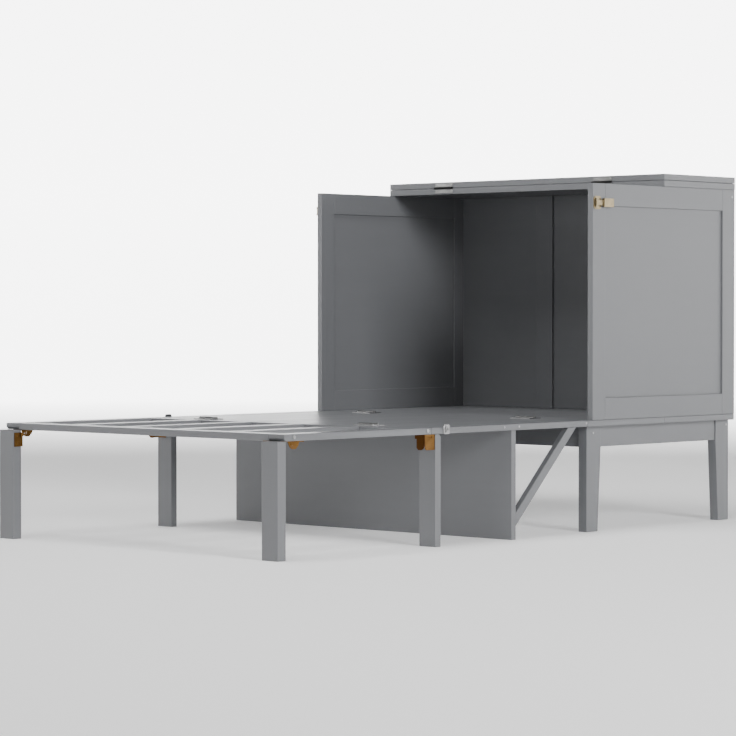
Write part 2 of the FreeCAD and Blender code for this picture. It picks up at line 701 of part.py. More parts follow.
# ---------------------------------------------------------------- side latches
def side_latches():
    """A plate on the cabinet's side, a lever on an upright pin and the keeper that it reaches."""
    plate = new_body("latch_plate_piece")
    low, high = "latch_bottom", "latch_bottom + latch_height"
    far = "latch_plate_depth"
    corners = [("latch_corner", low), (f"{far} - latch_corner", low), (far, f"{low} + latch_corner"),
               (far, f"{high} - latch_corner"), (f"{far} - latch_corner", high),
               ("latch_corner", high), ("0", f"{high} - latch_corner"), ("0", f"{low} + latch_corner")]
    extrude(plate, outline(plate, "YZ_Plane", corners), "latch_plate")
    place(plate, "side", "latch_y", "0")
    turn_room = "(latch_arm / 2 + ear_play)"
    ears = []
    for index, start in enumerate((f"latch_mid_z + {turn_room}",
                                   f"latch_mid_z - {turn_room} - latch_post")):
        ears.append(box(f"latch_ear_{index}", "side + latch_plate / 2", "latch_pin_y - latch_post",
                        start, "latch_plate / 2 + ear_reach", "2 * latch_post", "latch_post"))
    pin_start = f"latch_mid_z - {turn_room} - latch_post"
    pin_length = f"2 * ({turn_room} + latch_post)"
    pin = cylinder("latch_pin_piece", "latch_pin_x", "latch_pin_y", pin_start, "latch_pin", pin_length)
    pair(cut("latch_base", fuse("latch_base_solid", [plate] + ears), pin), "latch_bases")
    pair(pin, "latch_pins")
    eye = cylinder("lever_eye", "latch_pin_x", "latch_pin_y", "latch_mid_z - latch_arm / 2",
                   "latch_arm_thickness", "latch_arm")
    arm = box("lever_arm", "latch_pin_x - latch_arm_thickness / 2", "latch_pin_y",
              "latch_mid_z - latch_arm / 2", "latch_arm_thickness", "latch_lever - latch_grip + through",
              "latch_arm")
    grip = box("lever_grip", "latch_pin_x - latch_arm_thickness / 2",
               "latch_pin_y + latch_lever - latch_grip", "latch_mid_z - latch_grip_height / 2",
               "latch_grip_thickness", "latch_grip", "latch_grip_height")
    drill = cylinder("lever_drill", "latch_pin_x", "latch_pin_y", "latch_mid_z - latch_arm",
                     "latch_pin + running_fit", "2 * latch_arm")
    both(cut("lever", fuse("lever_solid", [eye, arm, grip]), drill), "latch_lever")
    pair(box("keeper_piece", "side", "fold_y + keeper_place", "under - keeper_drop", "keeper",
             "keeper_depth", "keeper_height"), "latch_keepers")


# ---------------------------------------------------------------- bolts and screws
def heads(name, spots, radius, rise):
    """Round heads on the outer side faces, on both sides: each spot is a Y and a Z, on a face."""
    discs = []
    for index, (face, y, z) in enumerate(spots):
        discs.append(cylinder(f"{name}_r{index}", face, y, z, radius, rise,
                              Rotation(Vector(0, 1, 0), 90)))
        discs.append(cylinder(f"{name}_l{index}", f"-({face})", y, z, radius, rise,
                              Rotation(Vector(0, 1, 0), -90)))
    keep(group(name + "_set", discs), name)


def fasteners():
    """Bolt and screw heads that show on the side faces."""
    edge = "under + board / 2 + above_middle"
    heads("foot_section_bolts",
          [("side", "foot_y + bolt_from_foot", edge), ("side", "fold_y - bolt_from_fold", edge)],
          "bolt_head", "bolt_rise")
    heads("mid_section_screws",
          [("side", "stand_y - screw_before_stand", edge), ("side", "stand_y + screw_behind_stand", edge),
           ("side", "door_y - screw_from_door", edge)],
          "screw_head", "screw_rise")
    leg_face = "side - cabinet_leg_inset"
    heads("cabinet_screws",
          [(leg_face, "front_y + leg_screw_in", "under - leg_screw_drop"),
           (leg_face, "back_y - rear_screw_in", "under - rear_screw_drop"),
           ("side", "back_y - panel_screw_in", "cabinet_top - panel_screw_drop")],
          "screw_head", "screw_rise")


def build():
    side_panel()
    cabinet_carcass()
    cabinet_stand()
    lid()
    lid_hinge()
    foot_section()
    mid_section()
    deck_hinge("fold_hinge", "fold_y")
    deck_hinge("door_hinge", "door_y")
    foot_legs()
    leg_shoes()
    leg_brackets()
    mid_legs()
    mid_leg_hangers()
    mid_leg_ledges()
    side_latches()
    fasteners()


def check():
    """Stop if any object failed or any sub-part has no valid solid."""
    for item in doc.Objects:
        if "Invalid" in item.State or "Error" in item.State:
            raise RuntimeError(f"{item.Label} failed: {item.State}")
    for item in parts:
        if item.Shape.isNull() or not item.Shape.isValid() or not item.Shape.Solids:
            raise RuntimeError(f"{item.Label} has no valid solid")


build()
doc.recompute()
check()
os.makedirs("parts", exist_ok=True)
for item in parts:
    item.Shape.exportStep(f"parts/{item.Label}.step")
print(len(parts), "sub-parts written")
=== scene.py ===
# %% [markdown]
# # A cabinet bed, dressed
# The bed stands opened out: a cabinet with a folded-back lid at the head, and two hinged deck
# sections that run forward on folding legs. The measured solids come in as a fixed frame, and each
# step below gives one family of pieces its real edges, its small parts and its finish.

# %% Load the frame
import json
import math

import bmesh
import bpy
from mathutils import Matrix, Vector


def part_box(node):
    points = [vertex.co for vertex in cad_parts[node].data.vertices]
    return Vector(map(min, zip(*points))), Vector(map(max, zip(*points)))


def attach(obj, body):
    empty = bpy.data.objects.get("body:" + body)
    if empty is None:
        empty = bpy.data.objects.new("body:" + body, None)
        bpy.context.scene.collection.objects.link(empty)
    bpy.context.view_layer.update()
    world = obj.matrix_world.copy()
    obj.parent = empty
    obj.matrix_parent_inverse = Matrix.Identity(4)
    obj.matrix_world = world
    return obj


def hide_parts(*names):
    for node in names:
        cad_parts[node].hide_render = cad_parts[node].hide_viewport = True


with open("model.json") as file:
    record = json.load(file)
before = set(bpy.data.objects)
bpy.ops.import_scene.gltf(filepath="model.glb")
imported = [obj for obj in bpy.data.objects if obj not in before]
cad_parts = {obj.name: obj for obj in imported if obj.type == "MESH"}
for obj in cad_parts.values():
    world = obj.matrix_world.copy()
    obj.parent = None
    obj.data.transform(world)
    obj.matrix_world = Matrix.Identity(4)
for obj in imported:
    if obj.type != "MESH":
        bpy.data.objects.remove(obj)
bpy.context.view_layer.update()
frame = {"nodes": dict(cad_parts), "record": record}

record = frame["record"]
body_of_node = {node: body for body, nodes in record["behaviour"]["bodies"].items() for node in nodes}
slot_of_node = {part["node"]: part["material_slot"] for part in record["subparts"]}

# %% [markdown]
# ## Writing shader maths as plain sums
# A procedural finish is a sum of noises and masks. Wiring each Math node by hand hides that sum, so
# one small class wraps a socket: adding or multiplying two wrapped sockets adds the node for it.
# Plain numbers may stand on either side of the sign.


# %% A socket that can be added and multiplied
class Wire:
    """A shader socket that takes part in sums and products."""

    def __init__(self, tree, socket):
        self.tree = tree
        self.socket = socket

    def node(self, kind, settings=None, **inputs):
        """A new node of that type: its settings go in first, then the values or links of its sockets.

        A socket goes by its name, or by its number after an underscore where names repeat.
        """
        made = self.tree.nodes.new(kind)
        for name, value in (settings or {}).items():
            setattr(made, name, value)
        for name, value in inputs.items():
            key = int(name[1:]) if name[0] == "_" else name
            if isinstance(value, Wire):
                self.tree.links.new(value.socket, made.inputs[key])
            else:
                made.inputs[key].default_value = value
        return made

    def maths(self, operation, *values, clamp=False):
        """A Math node in this socket's tree, on the values that are named: sockets or numbers."""
        sockets = {f"_{index}": value for index, value in enumerate(values)}
        made = self.node("ShaderNodeMath", {"operation": operation, "use_clamp": clamp}, **sockets)
        return Wire(self.tree, made.outputs[0])

    def __add__(self, other):
        return self.maths("ADD", self, other)

    def __sub__(self, other):
        return self.maths("SUBTRACT", self, other)

    def __rsub__(self, other):
        return self.maths("SUBTRACT", other, self)

    def __mul__(self, other):
        return self.maths("MULTIPLY", self, other)

    __radd__ = __add__
    __rmul__ = __mul__

    def near(self, place, width):
        """1 at a place, falling to 0 a width away on each side."""
        distance = self.maths("ABSOLUTE", self - place)
        return self.maths("SUBTRACT", 1.0, distance * (1 / width), clamp=True)

    def ramp(self, slope, start):
        """slope times this socket plus start, kept between 0 and 1."""
        return self.maths("MULTIPLY_ADD", self, slope, start, clamp=True)


print("one class for sums and products of sockets")

# %% [markdown]
# ## A material and its coordinates
# Every finish here starts the same way: a Principled shader, and Object coordinates in metres, so
# that a pattern keeps its real size and stays where it is on the piece. A fine bump goes with each
# colour, because paint and plating show their texture in the highlight before they show it in tone.


# %% Start a material
def new_finish(name, metallic):
    """A material with a Principled shader: the material, the shader and the object coordinates."""
    material = bpy.data.materials.new(name)
    material.use_nodes = True
    tree = material.node_tree
    shader = tree.nodes["Principled BSDF"]
    shader.inputs["Metallic"].default_value = metallic
    where = Wire(tree, tree.nodes.new("ShaderNodeTexCoord").outputs["Object"])
    return material, shader, where


def noise(where, scale, detail=2.0, roughness=0.5):
    """A noise between 0 and 1; scale counts its cells in a metre."""
    made = where.node("ShaderNodeTexNoise", Vector=where, Scale=scale, Detail=detail, Roughness=roughness)
    return Wire(where.tree, made.outputs["Fac"])


def stretched(where, scale):
    """The coordinates stretched along some axes, for grain and brush marks."""
    made = where.node("ShaderNodeMapping", Vector=where, Scale=scale)
    return Wire(where.tree, made.outputs["Vector"])


def along(where, axis):
    """One coordinate, in metres."""
    return Wire(where.tree, where.node("ShaderNodeSeparateXYZ", Vector=where).outputs[axis])


def blend_colour(factor, dark, light):
    """A colour that goes from dark to light with a factor. The Mix node's colour sockets have numbers."""
    made = factor.node("ShaderNodeMix", {"data_type": "RGBA"}, _0=factor, _6=(*dark, 1), _7=(*light, 1))
    return Wire(factor.tree, made.outputs[2])


def finish_with(shader, colour, rough, height, depth):
    """Feed the shader its colour, its roughness and a fine bump."""
    links = colour.tree.links
    links.new(colour.socket, shader.inputs["Base Color"])
    links.new(rough.socket, shader.inputs["Roughness"])
    bump = height.node("ShaderNodeBump", Height=height, Strength=1.0, Distance=depth)
    links.new(bump.outputs["Normal"], shader.inputs["Normal"])


print("helpers for noise, grain, colour and bump")

# %% [markdown]
# ## Satin grey paint
# The boards are sprayed in one satin grey. Sprayed paint is never quite flat: it has a fine orange
# peel, a slow drift in tone from board to board, and the grain of the board telegraphs through along
# its length. A flat grey would look like plastic. On the decks and the slats, where the eye runs
# along the grain, the streaks are stronger and wider apart in tone. The decks also show faint lines
# where their boards are joined side by side, in line with the edges of the slats.

# %% Mix the paint
PAINT_DARK = (0.137, 0.141, 0.149)
PAINT_LIGHT = (0.162, 0.166, 0.175)
DECK_DARK = (0.112, 0.115, 0.122)
DECK_LIGHT = (0.196, 0.201, 0.211)
DRIFT_CELLS, PEEL_CELLS = 2.3, 900.0
DRIFT_SHARE, GRAIN_SHARE, TONE_START = 0.55, 0.45, 0.225
SATIN, GRAIN_SHEEN = 0.36, 0.10
PEEL_RELIEF, GRAIN_RELIEF, PEEL_DEPTH = 0.35, 1.2, 0.00006
LINE_HALF, LINE_SHADE, LINE_DEPTH = 0.0016, 1.6, 0.0006
SLATS = 4


def grey_paint(name, grain_scale, line_places=(), streak=1.0, dark=PAINT_DARK, light=PAINT_LIGHT):
    """Sprayed satin paint over a grain, with optional joint lines at places along X."""
    material, shader, where = new_finish(name, metallic=0.0)
    drift = noise(where, DRIFT_CELLS, detail=3.0)
    grain = noise(stretched(where, grain_scale), 1.0, detail=4.0, roughness=0.6)
    peel = noise(where, PEEL_CELLS, detail=1.0)
    tone = drift * DRIFT_SHARE + GRAIN_SHARE * streak * (grain - 0.5) + TONE_START
    height = peel * PEEL_RELIEF + grain * (GRAIN_RELIEF * streak)
    if line_places:
        across = along(where, "X")
        line = sum(across.near(place, LINE_HALF) for place in line_places)
        tone = tone - line * LINE_SHADE
        height = height - line * (LINE_DEPTH / PEEL_DEPTH)
    rough = (grain - 0.5) * (GRAIN_SHEEN * streak) + SATIN
    finish_with(shader, blend_colour(tone, dark, light), rough, height, PEEL_DEPTH)
    return material


joint_lines = [corner[0] for slat in range(1, SLATS + 1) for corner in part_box(f"foot_slat_{slat}")]
paint_upright = grey_paint("grey_paint_upright", grain_scale=(26, 26, 2.5))
paint_lengthwise = grey_paint("grey_paint_lengthwise", grain_scale=(30, 3, 30))
paint_crosswise = grey_paint("grey_paint_crosswise", grain_scale=(3, 30, 30))
deck_look = {"grain_scale": (60, 2.5, 60), "streak": 3.0, "dark": DECK_DARK, "light": DECK_LIGHT}
paint_slats = grey_paint("grey_paint_slats", **deck_look)
paint_deck = grey_paint("grey_paint_deck", line_places=joint_lines, **deck_look)
print("joint lines across the deck at", [round(place, 3) for place in joint_lines])

# %% [markdown]
# ## Nickel and brass
# The hinges, bolts and most screws are nickel-plated steel: bright, with fine polishing marks. The leg
# brackets are yellow-passivated steel, which looks like old brass with a slow cloudiness, and the side
# latches have a paler coat of it. All are metals, so their colour sits in the reflection. The leaf on
# the foot side of each mid leg's ledge faces the foot under the deck, in shade: it is a dark T in the
# photograph, and that shade is painted into its plating. A line of painted shade runs between the
# knuckles of the lid's hinges, whose tone also goes down darker than the other nickel.


# %% Mix the metals
NICKEL_DARK, NICKEL_LIGHT = (0.10, 0.10, 0.11), (0.66, 0.66, 0.65)
YELLOW_DARK, YELLOW_LIGHT = (0.060, 0.022, 0.004), (0.285, 0.152, 0.044)
PALE_DARK, PALE_LIGHT = (0.13, 0.10, 0.055), (0.42, 0.35, 0.22)
# The lid's hinges reach down to a darker tone than the other nickel, and their painted shade line falls
# to it.
LID_SHADE_DARK, LID_NICKEL_LIGHT = (0.03, 0.03, 0.03), (0.60, 0.60, 0.59)
CLOUD_CELLS, CLOUD_SHARE, MARK_SHARE = 40.0, 0.6, 0.4
MARK_ROUGHNESS, MARK_DEPTH = 0.12, 0.00004
# The height of the lid hinges' pins, and half the width of the painted shade line there.
LID_PIN_Z, KNUCKLE_SHADE = 1.0253, 0.0075
# Where the foot-facing leaf of the ledge begins along Y, and how far its painted shade darkens it.
LEDGE_FRONT, LEDGE_SHADE_SHARE = -0.4238, 0.9


def plated(name, dark, light, roughness, mark_scale, shade_height=None, shade_before=None):
    """A plated metal with cloudy tone and fine marks along one direction.

    Of the two last arguments, the first is a height at which the tone falls to its darkest, as a line of
    painted shade; the second is a place along Y, and what lies nearer to the foot than that is painted
    close to the darkest tone, as shade.
    """
    material, shader, where = new_finish(name, metallic=1.0)
    cloud = noise(where, CLOUD_CELLS, detail=3.0)
    marks = noise(stretched(where, mark_scale), 1.0, detail=2.0)
    tone = cloud * CLOUD_SHARE + marks * MARK_SHARE
    # Painted shade: a dark line at one height, where the knuckles shade each other.
    if shade_height is not None:
        tone = tone * (1.0 - along(where, "Z").near(shade_height, KNUCKLE_SHADE))
    # Painted shade: what lies nearer to the foot than a place is darkened, for a leaf in the deck's
    # shadow.
    if shade_before is not None:
        length = along(where, "Y")
        tone = tone * (1.0 - length.maths("LESS_THAN", length, shade_before) * LEDGE_SHADE_SHARE)
    rough = roughness + marks * MARK_ROUGHNESS
    finish_with(shader, blend_colour(tone, dark, light), rough, marks + cloud, MARK_DEPTH)
    return material


ACROSS_THE_BED, ALONG_THE_BED, UPRIGHT = (60, 900, 900), (800, 60, 800), (900, 900, 60)
nickel = plated("nickel_plate", NICKEL_DARK, NICKEL_LIGHT, 0.27, ACROSS_THE_BED)
brass = plated("yellow_plate", YELLOW_DARK, YELLOW_LIGHT, 0.30, ALONG_THE_BED)
# The ledge plates' foot-facing leaf carries painted shade.
ledge_brass = plated("yellow_plate_ledge", YELLOW_DARK, YELLOW_LIGHT, 0.30, ALONG_THE_BED,
                     shade_before=LEDGE_FRONT)
pale_brass = plated("pale_brass", PALE_DARK, PALE_LIGHT, 0.24, UPRIGHT)
# The lid's hinges carry a line of painted shade between their knuckles.
lid_nickel = plated("nickel_lid_hinge", LID_SHADE_DARK, LID_NICKEL_LIGHT, 0.24, ACROSS_THE_BED, shade_height=LID_PIN_Z)
print("metals:", nickel.name, brass.name, ledge_brass.name, pale_brass.name, lid_nickel.name)

# %% [markdown]
# ## Boards with eased edges
# A cut board has its corners eased by a light sanding before it is painted, and that thin rounded
# edge is what catches the light. The boards under the mattress, where a hand or the mattress slides
# over them, are eased further than the rest. The edges could be drawn one by one, but a Bevel modifier
# rounds them all by the same small radius, as sandpaper does. It runs over a copy of each solid whose
# doubled corners are merged and whose flat faces are whole again. Hardened normals keep the broad
# faces flat in the light. The copy then stands in for the solid.

# %% Ease the edges of a piece
EASED = 0.0012
DECK_EASED = 0.0020
SHARP = math.radians(32)
FLAT = math.radians(1)
SAME_POINT = 0.00001


def plain_mesh(piece):
    """The piece's mesh with its modifiers applied."""
    evaluated = piece.evaluated_get(bpy.context.evaluated_depsgraph_get())
    return bpy.data.meshes.new_from_object(evaluated)


def eased_copy(node, width, material, segments=2):
    """A copy of a node with rounded edges, which rides on its body and replaces it."""
    mesh = frame["nodes"][node].data.copy()
    work = bmesh.new()
    work.from_mesh(mesh)
    bmesh.ops.remove_doubles(work, verts=work.verts, dist=SAME_POINT)
    bmesh.ops.dissolve_limit(work, angle_limit=FLAT, verts=work.verts, edges=work.edges)
    bmesh.ops.recalc_face_normals(work, faces=work.faces)
    work.to_mesh(mesh)
    work.free()
    piece = bpy.data.objects.new(node + "_eased", mesh)
    bpy.context.scene.collection.objects.link(piece)
    bevel = piece.modifiers.new("eased", "BEVEL")
    bevel.width = width
    bevel.segments = segments
    bevel.limit_method = "ANGLE"
    bevel.angle_limit = SHARP
    bevel.harden_normals = True
    for face in mesh.polygons:
        face.use_smooth = True
    mesh.set_sharp_from_angle(angle=SHARP)
    solid = plain_mesh(piece)
    solid.materials.clear()
    solid.materials.append(material)
    piece.modifiers.clear()
    piece.data = solid
    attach(piece, body_of_node[node])
    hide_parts(node)
    return piece


print("boards are eased by", EASED * 1000, "mm and the decks by", DECK_EASED * 1000, "mm")

# %% [markdown]
# ## Which way each board runs
# The grain follows the longest side of a board, so the paint is chosen from the node's own box. A
# box that holds a pair or more of boards says nothing of one of them, so the legs, battens, aprons and
# braces are named. The three decks carry the lines of their joints, and the slats and side rails of the
# foot section have the same strong grain.

# %% Dress the boards
DECKS = ("mid_deck", "head_deck_front", "head_deck_back")


def paint_for(node):
    """The paint whose grain runs along the node's longest side."""
    if node in DECKS:
        return paint_deck
    if node.startswith(("foot_slat", "foot_side_rail")):
        return paint_slats
    if "legs" in node or node == "back_battens":
        return paint_upright
    if node in ("side_aprons", "braces"):
        return paint_lengthwise
    low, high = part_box(node)
    sides = [high[axis] - low[axis] for axis in range(3)]
    return (paint_crosswise, paint_lengthwise, paint_upright)[sides.index(max(sides))]


def under_the_mattress(node):
    """Whether the node is a board of one of the three decks or of the foot section."""
    return node in DECKS or (node.startswith("foot_") and "leg" not in node)


boards = [eased_copy(node, DECK_EASED if under_the_mattress(node) else EASED, paint_for(node))
          for node, slot in slot_of_node.items() if slot == "grey_board"]
print(len(boards), "boards with eased edges")

# %% [markdown]
# ## Hardware with soft edges
# Stamped and folded metal has a much smaller radius on its edges than a board. The same easing is
# used, at three tenths of a millimetre and with a single facet, which is all that shows at this size.
# The levers of the latches are made to be gripped, so theirs is wider and rounder. The keepers are
# left to the next step.

# %% Dress the hardware
METAL_EASED, METAL_FACETS = 0.0003, 1
GRIP_EASED, GRIP_FACETS = 0.0012, 3


def plating_for(node, slot):
    """The metal that a piece of hardware is plated with."""
    if node.startswith("lid_hinge"):
        return lid_nickel
    if node.startswith("mid_leg_ledge"):
        return ledge_brass
    if node.startswith(("latch_bases", "latch_lever")):
        return pale_brass
    return brass if slot == "brass" else nickel


metals = []
for node, slot in slot_of_node.items():
    if slot != "grey_board" and node != "latch_keepers":
        width, facets = ((GRIP_EASED, GRIP_FACETS) if node.startswith("latch_lever")
                         else (METAL_EASED, METAL_FACETS))
        metals.append(eased_copy(node, width, plating_for(node, slot), segments=facets))
print(len(metals), "pieces of hardware")

# %% [markdown]
# ## The keepers of the side latches
# The keeper is a small rounded plate on the mid section's edge, with a hook pressed up out of it for
# the lever to pull on. It is drawn as an outline and given its thickness: the plate first, then the
# hook as a low hoop that stands on it. The plate is as large as the block that stands for it in the
# frame, and the hook stands out of that block by less than two millimetres.

# %% Press the keepers
KEEPER_Y, KEEPER_Z = -0.3410, 0.3180
KEEPER_SIDE, KEEPER_SHEET = 0.5500, 0.0025
KEEPER_FACE = KEEPER_SIDE + KEEPER_SHEET
HOOK_RISE = 0.0018
PLATE = (0.0125, 0.0130, 0.0060)
HOOK_OUTSIDE, HOOK_INSIDE = (0.0040, 0.0085, 0.0035), (0.0018, 0.0060, 0.0014)


def plate_outline(half_y, half_z, radius, steps=6):
    """The points of a rectangle with rounded corners, around the origin, from its half sides."""
    spots = []
    for corner, (sign_y, sign_z) in enumerate(((1, 1), (-1, 1), (-1, -1), (1, -1))):
        for step in range(steps + 1):
            angle = math.pi / 2 * (corner + step / steps)
            spots.append((sign_y * (half_y - radius) + radius * math.cos(angle),
                          sign_z * (half_z - radius) + radius * math.sin(angle)))
    return spots


def add_slab(work, spots, low, high, side, inner=None):
    """A sheet between two distances from the middle, with an optional hole of as many corners."""
    rings = []
    for x in (low, high):
        rings.append([work.verts.new((side * x, KEEPER_Y + y, KEEPER_Z + z)) for y, z in spots])
        if inner:
            rings.append([work.verts.new((side * x, KEEPER_Y + y, KEEPER_Z + z)) for y, z in inner])
    count = len(spots)
    if not inner:
        work.faces.new(rings[0])
        work.faces.new(rings[1])
    walls = [(0, 2), (1, 3), (0, 1), (2, 3)] if inner else [(0, 1)]
    for first, second in walls:
        for step in range(count):
            after = (step + 1) % count
            work.faces.new((rings[first][step], rings[first][after], rings[second][after],
                            rings[second][step]))


keeper_mesh = bpy.data.meshes.new("keeper_plates")
work = bmesh.new()
for side in (-1, 1):
    add_slab(work, plate_outline(*PLATE), KEEPER_SIDE, KEEPER_FACE, side)
    add_slab(work, plate_outline(*HOOK_OUTSIDE), KEEPER_FACE, KEEPER_FACE + HOOK_RISE, side,
             inner=plate_outline(*HOOK_INSIDE))
bmesh.ops.recalc_face_normals(work, faces=work.faces)
work.to_mesh(keeper_mesh)
work.free()
keeper_mesh.materials.append(nickel)
keepers = bpy.data.objects.new("keepers_pressed", keeper_mesh)
bpy.context.scene.collection.objects.link(keepers)
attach(keepers, "mid_body")
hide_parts("latch_keepers")
print("keepers:", len(keeper_mesh.polygons), "faces")

# %% [markdown]
# ## Screws
# Every leaf, angle and plate is held by small cross-head screws. They are all one screw, so a
# Geometry Nodes tree makes it once: a shallow cone with a cross cut out of it. The tree sets it at
# each point of a small mesh, stands it on the face that the point names and turns it by a chance
# angle, as driven screws end up. The sizes are inputs, since small leaves take small screws.

# %% The nodes that set a screw at every point
HEAD_SIDES = 20
HEAD_TOP = 0.72


def screw_tree():
    """Points in, screws out: the head's sizes, the seed and the finish are inputs."""
    tree = bpy.data.node_groups.new("set_screws", "GeometryNodeTree")
    sockets = tree.interface
    sockets.new_socket("Points", in_out="INPUT", socket_type="NodeSocketGeometry")
    for name, value in (("Radius", 0.0031), ("Rise", 0.0007), ("Slot Length", 0.0036),
                        ("Slot Width", 0.0008)):
        sockets.new_socket(name, in_out="INPUT", socket_type="NodeSocketFloat").default_value = value
    sockets.new_socket("Seed", in_out="INPUT", socket_type="NodeSocketInt").default_value = 11
    sockets.new_socket("Finish", in_out="INPUT", socket_type="NodeSocketMaterial")
    sockets.new_socket("Screws", in_out="OUTPUT", socket_type="NodeSocketGeometry")
    link = tree.links.new
    given = tree.nodes.new("NodeGroupInput").outputs
    result = tree.nodes.new("NodeGroupOutput").inputs

    head = tree.nodes.new("GeometryNodeMeshCone")
    head.inputs["Vertices"].default_value = HEAD_SIDES
    link(given["Radius"], head.inputs["Radius Bottom"])
    narrow = tree.nodes.new("ShaderNodeMath")
    narrow.operation = "MULTIPLY"
    narrow.inputs[1].default_value = HEAD_TOP
    link(given["Radius"], narrow.inputs[0])
    link(narrow.outputs[0], head.inputs["Radius Top"])
    link(given["Rise"], head.inputs["Depth"])

    boolean = tree.nodes.new("GeometryNodeMeshBoolean")
    boolean.operation = "DIFFERENCE"
    link(head.outputs["Mesh"], boolean.inputs["Mesh 1"])
    for long_axis, short_axis in (("X", "Y"), ("Y", "X")):
        size = tree.nodes.new("ShaderNodeCombineXYZ")
        link(given["Slot Length"], size.inputs[long_axis])
        link(given["Slot Width"], size.inputs[short_axis])
        link(given["Rise"], size.inputs["Z"])
        bar = tree.nodes.new("GeometryNodeMeshCube")
        link(size.outputs[0], bar.inputs["Size"])
        lift = tree.nodes.new("ShaderNodeCombineXYZ")
        link(given["Rise"], lift.inputs["Z"])
        moved = tree.nodes.new("GeometryNodeTransform")
        link(bar.outputs["Mesh"], moved.inputs["Geometry"])
        link(lift.outputs[0], moved.inputs["Translation"])
        link(moved.outputs["Geometry"], boolean.inputs["Mesh 2"])

    facing = tree.nodes.new("GeometryNodeInputNamedAttribute")
    facing.data_type = "FLOAT_VECTOR"
    facing.inputs["Name"].default_value = "facing"
    stand = tree.nodes.new("FunctionNodeAlignRotationToVector")
    stand.axis = "Z"
    link(facing.outputs["Attribute"], stand.inputs["Vector"])
    chance = tree.nodes.new("FunctionNodeRandomValue")
    chance.data_type = "FLOAT"
    least, most = [socket for socket in chance.inputs if socket.type == "VALUE"][:2]
    least.default_value = 0.0
    most.default_value = math.pi / 2
    link(given["Seed"], chance.inputs["Seed"])
    turn = tree.nodes.new("FunctionNodeAxisAngleToRotation")
    turn.inputs["Axis"].default_value = (0.0, 0.0, 1.0)
    link(next(socket for socket in chance.outputs if socket.type == "VALUE"), turn.inputs["Angle"])
    both_turns = tree.nodes.new("FunctionNodeRotateRotation")
    both_turns.rotation_space = "LOCAL"
    link(stand.outputs[0], both_turns.inputs["Rotation"])
    link(turn.outputs[0], both_turns.inputs["Rotate By"])

    spread = tree.nodes.new("GeometryNodeInstanceOnPoints")
    link(given["Points"], spread.inputs["Points"])
    link(boolean.outputs["Mesh"], spread.inputs["Instance"])
    link(both_turns.outputs[0], spread.inputs["Rotation"])
    real = tree.nodes.new("GeometryNodeRealizeInstances")
    link(spread.outputs["Instances"], real.inputs["Geometry"])
    finish = tree.nodes.new("GeometryNodeSetMaterial")
    link(real.outputs["Geometry"], finish.inputs["Geometry"])
    link(given["Finish"], finish.inputs["Material"])
    link(finish.outputs["Geometry"], result["Screws"])
    return tree


set_screws = screw_tree()
socket_of = {item.name: item.identifier for item in set_screws.interface.items_tree
             if item.in_out == "INPUT"}
print("inputs of the screw tree:", ", ".join(socket_of))

# %% [markdown]
# ## Where the screws go
# A deck hinge has three screws in each leaf, with the middle one set further from the pin, so that
# they don't all split the same grain. The lid's narrow leaves have two small ones each. The angles
# of the foot legs have two in each wing, the ledge plates of the mid legs two near the top and two
# low down, the latch plates one in each corner and the keepers one on each side of the hook. A screw
# has the plating of the piece that it holds, but the ledge plates are held by nickel ones.

# %% List the screws of each body
BIG, SMALL, SHOE, LEDGE = 0.0030, 0.0021, 0.0028, 0.0026
HINGE_X = 0.318
FOLD_Y, DOOR_Y, LEAF_TOP = -0.3995, 0.274, 0.3262
LEAF_SCREWS = ((-0.025, 0.013), (0.0, 0.019), (0.025, 0.013))
LID_EDGE_Y, LID_SCREWS = 0.6317, (-0.03, 0.03)
LID_FIXED_Z, LID_MOVING_Z = 1.0150, 1.0356
SHOE_Z = (0.268, 0.288)
SHOE_BACK, SHOE_INSIDE = (0.5100, -0.9555), (0.4890, -0.9765)
LEDGE_X, LEDGE_Y, LEDGE_Z = (0.5205, 0.5395), -0.3868, (0.2720, 0.2975)
LATCH_FACE, LATCH_Y, LATCH_Z = 0.5525, (0.3045, 0.3250), (0.9362, 0.9638)
KEEPER_SCREWS = (-0.0084, 0.0084)
UP, TO_FOOT, TO_HEAD = (0, 0, 1), (0, -1, 0), (0, 1, 0)
screws = {}


def add_screws(body, size, finish, spots):
    """Put screws on the list: each spot is a place and the way its face looks."""
    screws.setdefault((body, size, finish), []).extend(spots)


def leaf_screws(pin_y, way):
    """The three screws of one deck hinge leaf, on both sides of the bed."""
    return [((side * HINGE_X + offset, pin_y + way * reach, LEAF_TOP), UP)
            for side in (-1, 1) for offset, reach in LEAF_SCREWS]


def lid_screws(z):
    """The two screws of one lid hinge leaf, on both sides of the bed."""
    return [((side * HINGE_X + offset, LID_EDGE_Y, z), TO_FOOT)
            for side in (-1, 1) for offset in LID_SCREWS]


